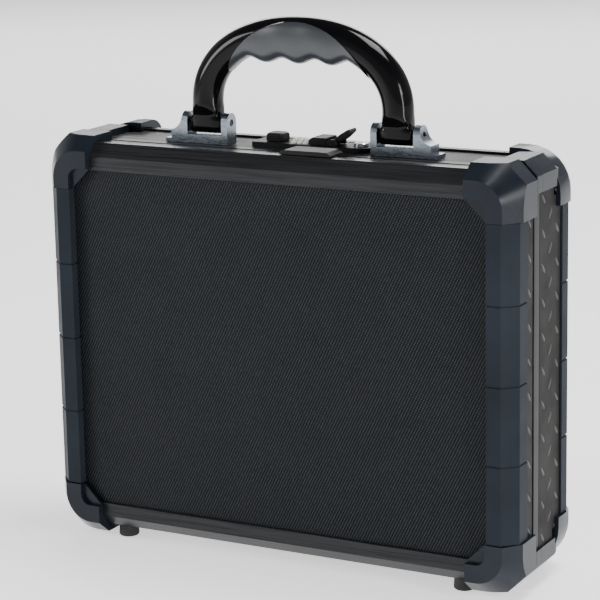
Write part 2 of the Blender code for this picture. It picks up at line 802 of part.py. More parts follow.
PLATE_START = -35.2 * MM
PLATE_END = 48.2 * MM
PLATE_DEPTH = 18.6 * MM
LOCK_MID = LOCK_FRONT + PLATE_DEPTH / 2
CASE_START = -30 * MM
CASE_END = 30 * MM
CASE_BELOW = 11 * MM
DIAL_RADIUS = 7.0 * MM
DIAL_WIDTH = 3.1 * MM
DIAL_PITCH = 4.1 * MM
DIAL_FIRST = -6.9 * MM
DIAL_Z = TOP + 4.6 * MM - DIAL_RADIUS
DIAL_SIDES = 30
BUTTON_X = -20.4 * MM
BUTTON_HALF = 6.2 * MM
BUTTON_DEPTH = 6.0 * MM
BUTTON_TRAVEL = 4.5 * MM
LEVER_X = 23.6 * MM
LEVER_Z = TOP + 4.3 * MM
KEY_X = 38.9 * MM
KEY_RADIUS = 4.6 * MM


def cut_lock_opening(sheet, name):
    """Lets the lock's body through the top wall of the base and through its lining."""
    clear = 0.5 * MM
    low = (CASE_START - clear, LOCK_MID - 7.5 * MM - clear, WALL_TOP - CASE_BELOW)
    high = (CASE_END + clear, LOCK_MID + 7.5 * MM + clear, WALL_TOP + 1 * MM)
    combine(sheet, box(low, high), "DIFFERENCE", name)


def make_lock_case():
    """The lock's plate with its round end, and the body below it with pockets for the dials."""
    half = PLATE_DEPTH / 2
    end = arc((PLATE_END - half, LOCK_MID), half, -90, 90, 12)
    outline = [
        (PLATE_START + 1.5 * MM, LOCK_MID - half),
        *end,
        (PLATE_START + 1.5 * MM, LOCK_MID + half),
        (PLATE_START, LOCK_MID + half - 1.5 * MM),
        (PLATE_START, LOCK_MID - half + 1.5 * MM),
    ]
    plate = prism(outline, "Z", LOCK_FLOOR, LOCK_TOP)
    case = add_object("lock_case", plate, dark_metal())
    body = box(
        (CASE_START, LOCK_MID - 7.5 * MM, WALL_TOP - CASE_BELOW),
        (CASE_END, LOCK_MID + 7.5 * MM, LOCK_FLOOR + 0.5 * MM),
    )
    combine(case, body, "UNION", "lock_case_body")
    for k in range(3):
        x = DIAL_FIRST + k * DIAL_PITCH
        pocket = prism(
            circle((LOCK_MID, DIAL_Z), DIAL_RADIUS + 0.45 * MM, 30),
            "X",
            x - DIAL_WIDTH / 2 - 0.25 * MM,
            x + DIAL_WIDTH / 2 + 0.25 * MM,
        )
        combine(case, pocket, "DIFFERENCE", f"lock_case_pocket_{k}")
    slot = box(
        (BUTTON_X - 3.4 * MM - BUTTON_TRAVEL, LOCK_MID - 1.9 * MM, LOCK_TOP - 2.0 * MM),
        (BUTTON_X + 3.4 * MM, LOCK_MID + 1.9 * MM, LOCK_TOP + 2 * MM),
    )
    combine(case, slot, "DIFFERENCE", "lock_case_slot")
    bore = prism(
        circle((KEY_X, LOCK_MID), KEY_RADIUS + 0.35 * MM, 24), "Z", LOCK_TOP - 1.6 * MM, LOCK_TOP + 2 * MM
    )
    combine(case, bore, "DIFFERENCE", "lock_case_key_bore")


def make_dials():
    """Three number wheels side by side, each turning on the same cross axle."""
    for k in range(3):
        x = DIAL_FIRST + k * DIAL_PITCH
        sections = []
        for step, radius in (
            (-0.5, DIAL_RADIUS - 0.5 * MM),
            (-0.36, DIAL_RADIUS),
            (0.36, DIAL_RADIUS),
            (0.5, DIAL_RADIUS - 0.5 * MM),
        ):
            ring = circle((LOCK_MID, DIAL_Z), radius, DIAL_SIDES)
            sections.append([(x + step * DIAL_WIDTH, y, z) for y, z in ring])
        name = f"lock_dial_{k + 1}"
        add_object(name, skin(sections), dial_white(), origin=(x, LOCK_MID, DIAL_Z))


def make_button():
    """The release slide: a rounded thumb piece on a stem in the plate's slot."""
    low = LOCK_TOP + GAP
    high = TOP + 7.4 * MM
    sections = []
    for z, shrink in (
        (low, 0.0),
        (high - 1.6 * MM, 0.0),
        (high - 0.5 * MM, 0.6 * MM),
        (high, 1.8 * MM),
    ):
        half_x = BUTTON_HALF - shrink
        half_y = BUTTON_DEPTH - shrink
        cut = 1.6 * MM
        loop = []
        for x, y in (
            (-half_x + cut, -half_y),
            (half_x - cut, -half_y),
            (half_x, -half_y + cut),
            (half_x, half_y - cut),
            (half_x - cut, half_y),
            (-half_x + cut, half_y),
            (-half_x, half_y - cut),
            (-half_x, -half_y + cut),
        ):
            loop.append((BUTTON_X + x, LOCK_MID + y, z))
        sections.append(loop)
    origin = (BUTTON_X, LOCK_MID, low)
    button = add_object("lock_slide_button", skin(sections), dark_metal(), origin)
    stem = box(
        (BUTTON_X - 3 * MM, LOCK_MID - 1.5 * MM, LOCK_TOP - 1.5 * MM),
        (BUTTON_X + 3 * MM, LOCK_MID + 1.5 * MM, low + 1 * MM),
    )
    combine(button, stem, "UNION", "lock_slide_button_stem")


def make_latch():
    """The latch block, and the lever that turns up from it."""
    low = LOCK_TOP + GAP
    high = TOP + 7.1 * MM
    front = LOCK_FRONT - 1.2 * MM
    outline = [
        (6.8 * MM, low),
        (19.4 * MM, low),
        (19.4 * MM, high - 0.6 * MM),
        (18.8 * MM, high),
        (9.4 * MM, high),
        (6.8 * MM, high - 2.2 * MM),
    ]
    block = prism(outline, "Y", front, front + 15.5 * MM)
    add_object("latch_block", block, dark_metal())
    for name, y in (("front", front), ("back", front + 13.2 * MM)):
        ear = [
            (19.7 * MM, low),
            (26.2 * MM, low),
            (26.2 * MM, LEVER_Z),
            (25.2 * MM, LEVER_Z + 2.2 * MM),
            (22.0 * MM, LEVER_Z + 2.2 * MM),
            (19.7 * MM, LEVER_Z + 0.6 * MM),
        ]
        add_object(f"latch_ear_{name}", prism(ear, "Y", y, y + 2.3 * MM), dark_metal())
    tilt = math.radians(34)
    profile = [(-1.5, -1.5), (6.5, -1.6), (12.5, -0.7), (13.6, 0.5), (13.0, 1.7), (7.0, 2.1), (-1.0, 1.7)]
    lever = []
    for a, b in profile:
        x = LEVER_X + (a * math.cos(tilt) - b * math.sin(tilt)) * MM
        z = LEVER_Z + (a * math.sin(tilt) + b * math.cos(tilt)) * MM
        lever.append((x, z))
    y0 = front + 2.6 * MM
    body = prism(lever, "Y", y0, y0 + 10.3 * MM)
    add_object("latch_lever", body, dark_metal(), origin=(LEVER_X, y0 + 5.15 * MM, LEVER_Z))


def make_key_cylinder():
    """The key barrel at the plate's round end, with its slot."""
    sections = []
    for z, radius in (
        (LOCK_TOP - 1.2 * MM, KEY_RADIUS),
        (TOP + 3.6 * MM, KEY_RADIUS),
        (TOP + 4.2 * MM, KEY_RADIUS - 0.7 * MM),
    ):
        sections.append([(x, y, z) for x, y in circle((KEY_X, LOCK_MID), radius, 24)])
    origin = (KEY_X, LOCK_MID, LOCK_TOP)
    barrel = add_object("key_cylinder", skin(sections), steel(), origin)
    slot = box(
        (KEY_X - 2.6 * MM, LOCK_MID - 0.7 * MM, TOP + 2.4 * MM),
        (KEY_X + 2.6 * MM, LOCK_MID + 0.7 * MM, TOP + 6 * MM),
    )
    combine(barrel, slot, "DIFFERENCE", "key_cylinder_slot")


def make_strike():
    """The lid's strike plate, which the latch hooks over."""
    low = TOP + GAP
    high = TOP + 3.2 * MM
    outline = [
        (1.0 * MM, low),
        (37.0 * MM, low),
        (37.0 * MM, low + 1.0 * MM),
        (34.0 * MM, high),
        (4.5 * MM, high),
        (1.0 * MM, low + 1.0 * MM),
    ]
    shape = prism(outline, "Y", LID.y(14 * MM), LID.y(31.2 * MM))
    add_object("lid_strike_plate", shape, dark_metal())


def main():
    clear_scene()
    for shell in (BASE, LID):
        make_panel(shell)
        make_walls(shell)
        make_edges(shell)
        make_guards(shell)
        make_corners(shell)
        make_lining(shell)
        make_feet(shell)
    make_rims()
    make_hinges()
    make_brackets()
    make_handle_arch()
    make_grip()
    make_lock_case()
    make_dials()
    make_button()
    make_latch()
    make_key_cylinder()
    make_strike()


main()
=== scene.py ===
"""The looks of a small aluminium attache case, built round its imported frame.

Every length is in metres, in the frame of the case: X along it, Y from the lid to the back, Z up.
"""

import logging
import math
from dataclasses import dataclass
from enum import Enum

import bmesh
import bpy
from mathutils import Matrix, Vector

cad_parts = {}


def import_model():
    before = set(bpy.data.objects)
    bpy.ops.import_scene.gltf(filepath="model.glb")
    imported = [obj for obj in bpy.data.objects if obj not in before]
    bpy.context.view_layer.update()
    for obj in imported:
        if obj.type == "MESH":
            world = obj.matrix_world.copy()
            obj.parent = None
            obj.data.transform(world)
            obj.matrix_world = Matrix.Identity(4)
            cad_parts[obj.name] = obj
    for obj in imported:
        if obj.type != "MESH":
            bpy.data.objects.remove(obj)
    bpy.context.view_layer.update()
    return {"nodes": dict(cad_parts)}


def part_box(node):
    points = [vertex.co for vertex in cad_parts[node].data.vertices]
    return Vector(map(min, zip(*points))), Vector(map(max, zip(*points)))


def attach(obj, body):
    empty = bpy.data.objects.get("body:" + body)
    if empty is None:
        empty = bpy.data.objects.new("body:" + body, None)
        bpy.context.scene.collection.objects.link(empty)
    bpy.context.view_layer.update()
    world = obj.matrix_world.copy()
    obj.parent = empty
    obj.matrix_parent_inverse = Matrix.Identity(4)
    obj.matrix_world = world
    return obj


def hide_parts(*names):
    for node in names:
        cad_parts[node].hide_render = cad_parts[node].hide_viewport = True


LOG = logging.getLogger("attache_case")
MM = 0.001

Colour = tuple[float, float, float]
Point = tuple[float, float, float]
Outline = list[tuple[float, float]]

# The range of grey that most of a noise texture falls in.
NOISE_MIDDLE = (0.3, 0.7)
# Edges that turn less than this, in degrees, are shaded smooth.
SMOOTH_BELOW = 38


class Body(str, Enum):
    """The rigid bodies that a piece can ride on."""

    BASE = "base"
    LID = "lid"
    HANDLE = "handle"


class Slot(str, Enum):
    """The record's material slots."""

    SHEET = "textured_sheet"
    ALUMINIUM = "black_aluminium"
    GUARD = "guard_plastic"
    GLOSS = "gloss_plastic"
    GRIP = "grip_plastic"
    DARK_METAL = "dark_metal"
    STEEL = "steel"
    RUBBER = "rubber"
    FELT = "felt"
    DIAL = "dial_white"


class NodeChain:
    """Adds shader nodes to one material and wires them together."""

    def __init__(self, name: str) -> None:
        """Starts an empty material.

        Args:
            name: The name of the material.
        """
        self.material = bpy.data.materials.new(name)
        self.material.use_nodes = True
        self.tree = self.material.node_tree
        self.shader = self.tree.nodes["Principled BSDF"]
        self.place = self.add("ShaderNodeTexCoord").outputs["Object"]

    def add(self, kind: str, **settings: object) -> bpy.types.Node:
        """Adds a node.

        Args:
            kind: The node's Blender type.
            **settings: Attributes to set on it.

        Returns:
            The new node.
        """
        node = self.tree.nodes.new(kind)
        for key, value in settings.items():
            setattr(node, key, value)
        return node

    def link(self, source: bpy.types.NodeSocket, target: bpy.types.NodeSocket) -> None:
        """Joins an output to an input."""
        self.tree.links.new(source, target)

    def math(self, operation: str, *values: object) -> bpy.types.NodeSocket:
        """Adds a Math node.

        Args:
            operation: The node's operation.
            *values: Numbers or sockets, in the order of its inputs.

        Returns:
            The result's socket.
        """
        node = self.add("ShaderNodeMath", operation=operation)
        for slot, value in zip(node.inputs, values):
            if isinstance(value, bpy.types.NodeSocket):
                self.link(value, slot)
            else:
                slot.default_value = value
        return node.outputs[0]

    def stretched(self, scale: Point) -> bpy.types.NodeSocket:
        """Object coordinates, scaled along each axis."""
        node = self.add("ShaderNodeMapping")
        node.inputs["Scale"].default_value = scale
        self.link(self.place, node.inputs["Vector"])
        return node.outputs["Vector"]

    def axes(self) -> tuple[bpy.types.NodeSocket, ...]:
        """The three object coordinates, each by itself."""
        node = self.add("ShaderNodeSeparateXYZ")
        self.link(self.place, node.inputs[0])
        return tuple(node.outputs)

    def noise(
        self, scale: float, detail: float = 3.0, stretch: Point = (1.0, 1.0, 1.0)
    ) -> bpy.types.NodeSocket:
        """Adds a noise texture.

        Args:
            scale: Features per metre.
            detail: Octaves of finer noise.
            stretch: Scale of each axis before the noise.

        Returns:
            The socket of its grey value.
        """
        node = self.add("ShaderNodeTexNoise")
        node.inputs["Scale"].default_value = scale
        node.inputs["Detail"].default_value = detail
        self.link(self.stretched(stretch), node.inputs["Vector"])
        return node.outputs["Fac"]

    def spread(self, value: bpy.types.NodeSocket, low: float, high: float) -> bpy.types.NodeSocket:
        """Maps a grey value onto the range from low to high, using its middle part."""
        node = self.add("ShaderNodeMapRange")
        node.inputs["From Min"].default_value = NOISE_MIDDLE[0]
        node.inputs["From Max"].default_value = NOISE_MIDDLE[1]
        node.inputs["To Min"].default_value = low
        node.inputs["To Max"].default_value = high
        self.link(value, node.inputs["Value"])
        return node.outputs["Result"]

    def colour_between(self, value: bpy.types.NodeSocket, dark: Colour, light: Colour) -> None:
        """Drives the base colour from one colour to another by a grey value."""
        node = self.add("ShaderNodeMix", data_type="RGBA")
        colour_sockets = [s for s in node.inputs if s.type == "RGBA"]
        colour_sockets[0].default_value = (*dark, 1.0)
        colour_sockets[1].default_value = (*light, 1.0)
        self.link(value, node.inputs["Factor"])
        result = next(s for s in node.outputs if s.type == "RGBA")
        self.link(result, self.shader.inputs["Base Color"])

    def bump(self, height: bpy.types.NodeSocket, distance: float, strength: float = 1.0) -> None:
        """Raises the surface by a height, on top of any bump already there.

        Args:
            height: The grey height.
            distance: The rise in metres of a height of 1.
            strength: How much of it shows.
        """
        node = self.add("ShaderNodeBump")
        node.inputs["Distance"].default_value = distance
        node.inputs["Strength"].default_value = strength
        self.link(height, node.inputs["Height"])
        normal = self.shader.inputs["Normal"]
        if normal.is_linked:
            self.link(normal.links[0].from_socket, node.inputs["Normal"])
        self.link(node.outputs["Normal"], normal)


@dataclass(frozen=True)
class MouldedPlastic:
    """Satin or glossy moulded plastic with a fine spark-eroded grain."""

    name: str
    slot: Slot
    dark: Colour
    light: Colour
    roughness: tuple[float, float]
    grain: float = 0.02 * MM
    grain_scale: float = 1400.0
    specular: float = 0.5

    def make(self) -> bpy.types.Material:
        """Builds the material."""
        chain = NodeChain(self.name)
        shader = chain.shader
        shader.inputs["Specular IOR Level"].default_value = self.specular
        broad = chain.noise(18.0, 4.0)
        chain.colour_between(chain.spread(broad, 0.0, 1.0), self.dark, self.light)
        smudge = chain.noise(45.0, 5.0)
        chain.link(chain.spread(smudge, *self.roughness), shader.inputs["Roughness"])
        if self.grain:
            chain.bump(chain.noise(self.grain_scale, 2.0), self.grain, 0.6)
        return chain.material


@dataclass(frozen=True)
class BrushedMetal:
    """Anodised or plated metal with fine lines brushed along one axis."""

    name: str
    slot: Slot
    dark: Colour
    light: Colour
    roughness: tuple[float, float]
    metallic: float = 1.0
    along: Point = (0.02, 1.0, 1.0)
    lines: float = 900.0
    depth: float = 0.004 * MM
    specular: float = 0.5

    def make(self) -> bpy.types.Material:
        """Builds the material."""
        chain = NodeChain(self.name)
        shader = chain.shader
        shader.inputs["Metallic"].default_value = self.metallic
        shader.inputs["Specular IOR Level"].default_value = self.specular
        lines = chain.noise(self.lines, 3.0, self.along)
        chain.colour_between(chain.spread(lines, 0.0, 1.0), self.dark, self.light)
        worn = chain.noise(30.0, 4.0)
        mixed = chain.math("ADD", chain.math("MULTIPLY", lines, 0.5), chain.math("MULTIPLY", worn, 0.5))
        chain.link(chain.spread(mixed, *self.roughness), shader.inputs["Roughness"])
        chain.bump(lines, self.depth, 0.5)
        return chain.material


@dataclass(frozen=True)
class WovenSheet:
    """Coated sheet pressed with a fine diagonal weave of small raised cells, with painted shade in the
    hollows between them and lighter cell tops.
    """

    name: str
    slot: Slot
    # The colour of the hollows, which is painted shade, and of the cell tops.
    low: Colour
    high: Colour
    pitch: float
    height: float
    across: tuple[int, int] = (0, 2)
    specular: float = 0.1
    column_lean: float = -0.5
    knot_lean: float = 0.35
    knot_rate: float = 1.15
    knot_share: float = 0.24
    wear: tuple[float, float] = (0.75, 1.1)
    contrast: float = 1.6
    roughness: tuple[float, float] = (0.42, 0.58)

    def make(self) -> bpy.types.Material:
        """Builds the material."""
        chain = NodeChain(self.name)
        shader = chain.shader
        axes = chain.axes()
        first = axes[self.across[0]]
        second = axes[self.across[1]]
        wave = 2.0 * math.pi / self.pitch
        columns = chain.math("MULTIPLY_ADD", second, self.column_lean, first)
        column = chain.math("SINE", chain.math("MULTIPLY", columns, wave))
        knots = chain.math("MULTIPLY_ADD", first, self.knot_lean, second)
        knot = chain.math("SINE", chain.math("MULTIPLY", knots, wave * self.knot_rate))
        ridge = chain.math("MULTIPLY_ADD", column, 0.5, 0.5)
        dip = chain.math("MULTIPLY_ADD", knot, self.knot_share, 1 - self.knot_share)
        cell = chain.math("MULTIPLY", ridge, dip)
        broken = chain.noise(520.0, 2.0)
        cell = chain.math("MULTIPLY", cell, chain.spread(broken, *self.wear))
        # Colour by cell height: painted shade in the hollows, lighter on the tops.
        chain.colour_between(chain.math("POWER", cell, self.contrast), self.low, self.high)
        chain.link(chain.spread(chain.noise(35.0, 4.0), *self.roughness), shader.inputs["Roughness"])
        shader.inputs["Specular IOR Level"].default_value = self.specular
        chain.bump(cell, self.height, 1.0)
        return chain.material


@dataclass(frozen=True)
class PaintedSheet:
    """Black coated sheet with faint orange peel, on the walls, and in a lighter copy with painted
    highlight on their treads.
    """

    name: str
    slot: Slot
    dark: Colour
    light: Colour
    roughness: tuple[float, float]
    specular: float
    peel: float = 0.03 * MM

    def make(self) -> bpy.types.Material:
        """Builds the material."""
        chain = NodeChain(self.name)
        shader = chain.shader
        shader.inputs["Specular IOR Level"].default_value = self.specular
        chain.colour_between(chain.spread(chain.noise(40.0, 5.0), 0.0, 1.0), self.dark, self.light)
        chain.link(chain.spread(chain.noise(90.0, 4.0), *self.roughness), shader.inputs["Roughness"])
        chain.bump(chain.noise(650.0, 3.0), self.peel, 0.5)
        return chain.material


@dataclass(frozen=True)
class Felt:
    """Short dark felt: a fuzzy nap over a matted ground."""

    name: str
    slot: Slot
    dark: Colour
    light: Colour

    def make(self) -> bpy.types.Material:
        """Builds the material."""
        chain = NodeChain(self.name)
        shader = chain.shader
        shader.inputs["Roughness"].default_value = 0.95
        shader.inputs["Sheen Weight"].default_value = 0.5
        shader.inputs["Sheen Roughness"].default_value = 0.5
        fibres = chain.noise(1100.0, 6.0)
        chain.colour_between(chain.spread(fibres, 0.0, 1.0), self.dark, self.light)
        chain.bump(fibres, 0.15 * MM, 0.7)
        chain.bump(chain.noise(70.0, 3.0), 0.2 * MM, 0.3)
        return chain.material


Finish = MouldedPlastic | BrushedMetal | WovenSheet | PaintedSheet | Felt

# The panels' weave: its near-black low colour is painted shade in the hollows.
WEAVE = WovenSheet(
    "panel_weave",
    Slot.SHEET,
    low=(0.0005, 0.0006, 0.0008),
    high=(0.036, 0.042, 0.05),
    pitch=1.95 * MM,
    height=0.16 * MM,
)
# A much lighter copy of the weave for the base's top wall: painted light on the upward face, over the
# painted shade in its hollows.
LIT_TOP_WEAVE = WovenSheet(
    "top_wall_weave_painted_light",
    Slot.SHEET,
    low=(0.014, 0.0138, 0.0136),
    high=(0.14, 0.137, 0.135),
    pitch=1.7 * MM,
    height=0.12 * MM,
    across=(0, 1),
    specular=0.2,
)
WALL_SHEET = PaintedSheet(
    "side_wall_sheet",
    Slot.SHEET,
    dark=(0.02, 0.0195, 0.0195),
    light=(0.031, 0.03, 0.0295),
    roughness=(0.42, 0.56),
    specular=0.03,
)
# A lighter copy of the walls' sheet for the treads: painted highlight on the raised ribs.
TREAD_PAINTED_HIGHLIGHT = PaintedSheet(
    "tread_painted_highlight",
    Slot.SHEET,
    dark=(0.045, 0.045, 0.044),
    light=(0.07, 0.069, 0.066),
    roughness=(0.32, 0.44),
    specular=0.2,
)
SMOOTH_SHEET = PaintedSheet(
    "smooth_sheet",
    Slot.SHEET,
    dark=(0.03, 0.031, 0.033),
    light=(0.05, 0.051, 0.054),
    roughness=(0.35, 0.45),
    specular=0.1,
)
ANODISED = BrushedMetal(
    "black_anodised",
    Slot.ALUMINIUM,
    dark=(0.016, 0.0165, 0.018),
    light=(0.034, 0.035, 0.038),
    roughness=(0.22, 0.34),
    metallic=0.45,
    specular=0.15,
)
RIM_METAL = BrushedMetal(
    "rim_anodised",
    Slot.ALUMINIUM,
    dark=(0.012, 0.0125, 0.014),
    light=(0.026, 0.027, 0.029),
    roughness=(0.3, 0.42),
    metallic=0.3,
    along=(0.05, 1.0, 0.05),
    specular=0.08,
)
GUARD = MouldedPlastic(
    "guard_moulding",
    Slot.GUARD,
    dark=(0.015, 0.0185, 0.0235),
    light=(0.022, 0.027, 0.034),
    roughness=(0.34, 0.44),
    specular=0.02,
)
# A darker copy of the guard plastic for the corner protectors and collars: painted shade.
SHADED_CORNER = MouldedPlastic(
    "corner_moulding_painted_shade",
    Slot.GUARD,
    dark=(0.007, 0.009, 0.014),
    light=(0.012, 0.0155, 0.022),
    roughness=(0.2, 0.28),
    specular=0.17,
)
GLOSS = MouldedPlastic(
    "handle_gloss",
    Slot.GLOSS,
    dark=(0.002, 0.002, 0.0025),
    light=(0.003, 0.003, 0.0035),
    roughness=(0.08, 0.13),
    grain=0.0,
    specular=0.16,
)
GRIP = MouldedPlastic(
    "grip_satin",
    Slot.GRIP,
    dark=(0.02, 0.0235, 0.028),
    light=(0.031, 0.0355, 0.042),
    roughness=(0.26, 0.36),
    specular=0.65,
)
LOCK_BLACK = MouldedPlastic(
    "lock_enamel",
    Slot.DARK_METAL,
    dark=(0.008, 0.008, 0.009),
    light=(0.014, 0.014, 0.015),
    roughness=(0.38, 0.5),
    specular=0.1,
)
BRACKET = BrushedMetal(
    "bracket_nickel",
    Slot.DARK_METAL,
    dark=(0.21, 0.245, 0.285),
    light=(0.31, 0.35, 0.4),
    roughness=(0.22, 0.34),
    along=(0.3, 1.0, 1.0),
)
HINGE_METAL = BrushedMetal(
    "hinge_nickel",
    Slot.DARK_METAL,
    dark=(0.07, 0.076, 0.088),
    light=(0.13, 0.138, 0.155),
    roughness=(0.14, 0.24),
    along=(0.3, 1.0, 1.0),
)
DARK_PIN = BrushedMetal(
    "pin_blackened",
    Slot.STEEL,
    dark=(0.03, 0.031, 0.033),
    light=(0.06, 0.062, 0.065),
    roughness=(0.3, 0.42),
)
STEEL = BrushedMetal(
    "barrel_steel",
    Slot.STEEL,
    dark=(0.45, 0.46, 0.48),
    light=(0.62, 0.63, 0.65),
    roughness=(0.2, 0.32),
)
RUBBER = MouldedPlastic(
    "foot_rubber_matt",
    Slot.RUBBER,
    dark=(0.012, 0.012, 0.012),
    light=(0.022, 0.022, 0.022),
    roughness=(0.7, 0.85),
    grain=0.05 * MM,
    grain_scale=900.0,
)
FELT = Felt("lining_nap", Slot.FELT, dark=(0.012, 0.012, 0.014), light=(0.035, 0.035, 0.04))
DIAL = MouldedPlastic(
    "dial_ivory",
    Slot.DIAL,
    dark=(0.62, 0.6, 0.55),
    light=(0.75, 0.73, 0.69),
    roughness=(0.35, 0.45),
    grain=0.0,
)
NUMERAL = MouldedPlastic(
    "numeral_ink",
    Slot.DIAL,
    dark=(0.3, 0.1, 0.03),
    light=(0.38, 0.13, 0.05),
    roughness=(0.4, 0.5),
    grain=0.0,
)


def new_piece(
    name: str, shape: bmesh.types.BMesh, finish: Finish, body: Body, smooth: bool = True
) -> bpy.types.Object:
    """Turns a shape into a piece that rides on a body.

    Args:
        name: The piece's name.
        shape: Its mesh, which is freed.
        finish: The finish to dress it in.
        body: The body it moves with.
        smooth: Whether its soft edges are shaded smooth.

    Returns:
        The new object.
    """
    bmesh.ops.recalc_face_normals(shape, faces=shape.faces)
    mesh = bpy.data.meshes.new(name)
    shape.to_mesh(mesh)
    shape.free()
    if smooth:
        mesh.shade_smooth()
        mesh.set_sharp_from_angle(angle=math.radians(SMOOTH_BELOW))
    piece = bpy.data.objects.new(name, mesh)
    bpy.context.scene.collection.objects.link(piece)
    Wardrobe.dress(piece, finish)
    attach(piece, body.value)
    LOG.info("%s: %d faces on %s", name, len(mesh.polygons), body.value)
    return piece


class Wardrobe:
    """Makes each finish once, and puts it on objects."""

    made: dict[str, bpy.types.Material] = {}

    @classmethod
    def material(cls, finish: Finish) -> bpy.types.Material:
        """The material of a finish, built on first use."""
        if finish.name not in cls.made:
            cls.made[finish.name] = finish.make()
        return cls.made[finish.name]

    @classmethod
    def dress(cls, piece: bpy.types.Object, finish: Finish) -> None:
        """Gives an object one finish all over."""
        piece.data.materials.clear()
        piece.data.materials.append(cls.material(finish))


def soften(piece: bpy.types.Object, width: float, segments: int = 2, limit: float = 32.0) -> None:
    """Rounds an object's sharp edges.

    Args:
        piece: The object.
        width: The bevel's width.
        segments: The bevel's steps.
        limit: The least angle, in degrees, of an edge that is rounded.
    """
    custom = piece.data.attributes.get("custom_normal")
    if custom:
        piece.data.attributes.remove(custom)
    weld = piece.modifiers.new("joined_corners", "WELD")
    weld.merge_threshold = 0.002 * MM
    bevel = piece.modifiers.new("soft_edges", "BEVEL")
    bevel.width = width
    bevel.segments = segments
    bevel.limit_method = "ANGLE"
    bevel.angle_limit = math.radians(limit)
    bevel.miter_outer = "MITER_ARC"
    piece.data.shade_smooth()
    flats = piece.modifiers.new("flat_faces", "WEIGHTED_NORMAL")
    flats.weight = 80


def skin(sections: list[list[Point]]) -> bmesh.types.BMesh:
    """Lays a surface through sections of equal length, and caps both ends.

    Args:
        sections: Rings of points, in order.

    Returns:
        The mesh.
    """
    shape = bmesh.new()
    rings = [[shape.verts.new(point) for point in section] for section in sections]
    count = len(rings[0])
    for near, far in zip(rings, rings[1:]):
        for i in range(count):
            j = (i + 1) % count
            shape.faces.new((near[i], near[j], far[j], far[i]))
    shape.faces.new(rings[0][::-1])
    shape.faces.new(rings[-1])
    return shape


def turned(profile: Outline, centre: Point, axis: str, count: int) -> bmesh.types.BMesh:
    """Turns a profile round an axis.

    Args:
        profile: (radius, height) points from one end to the other.
        centre: A point on the axis, at height 0.
        axis: The axis, as X or Y.
        count: Points round each ring.

    Returns:
        The mesh.
    """
    places = {
        "X": lambda a, b, h: (h, a, b),
        "Y": lambda a, b, h: (a, h, b),
    }
    sections = []
    for radius, height in profile:
        ring = []
        for k in range(count):
            turn = 2 * math.pi * k / count
            point = places[axis](radius * math.cos(turn), radius * math.sin(turn), height)
            ring.append(tuple(c + p for c, p in zip(centre, point)))
        sections.append(ring)
    return skin(sections)


def squarish(turn: float, exponent: float) -> tuple[float, float]:
    """A point at an angle on a unit outline: round for an exponent of 1, squarer below it."""
    across = math.cos(turn)
    up = math.sin(turn)
    return math.copysign(abs(across) ** exponent, across), math.copysign(abs(up) ** exponent, up)


def merge(target: bmesh.types.BMesh, extra: bmesh.types.BMesh) -> None:
    """Adds one shape to another, and frees it."""
    mesh = bpy.data.meshes.new("loose_part")
    extra.to_mesh(mesh)
    extra.free()
    target.from_mesh(mesh)
    bpy.data.meshes.remove(mesh)


def carve(shape: bmesh.types.BMesh, tools: list[tuple[bmesh.types.BMesh, str]]) -> bmesh.types.BMesh:
    """Cuts a shape by others, or keeps what it shares with them.

    Args:
        shape: The shape to change, which is freed.
        tools: Other shapes, each with its Boolean operation; they are freed.

    Returns:
        The result.
    """
    objects = []
    for part in [shape] + [tool for tool, _ in tools]:
        bmesh.ops.recalc_face_normals(part, faces=part.faces)
        mesh = bpy.data.meshes.new("carving")
        part.to_mesh(mesh)
        part.free()
        obj = bpy.data.objects.new("carving", mesh)
        bpy.context.scene.collection.objects.link(obj)
        objects.append(obj)
    for obj, (_, operation) in zip(objects[1:], tools):
        modifier = objects[0].modifiers.new("carving", "BOOLEAN")
        modifier.operation = operation
        modifier.object = obj
        modifier.solver = "EXACT"
    graph = bpy.context.evaluated_depsgraph_get()
    carved = bmesh.new()
    carved.from_mesh(objects[0].evaluated_get(graph).to_mesh())
    for obj in objects:
        mesh = obj.data
        bpy.data.objects.remove(obj)
        bpy.data.meshes.remove(mesh)
    return carved


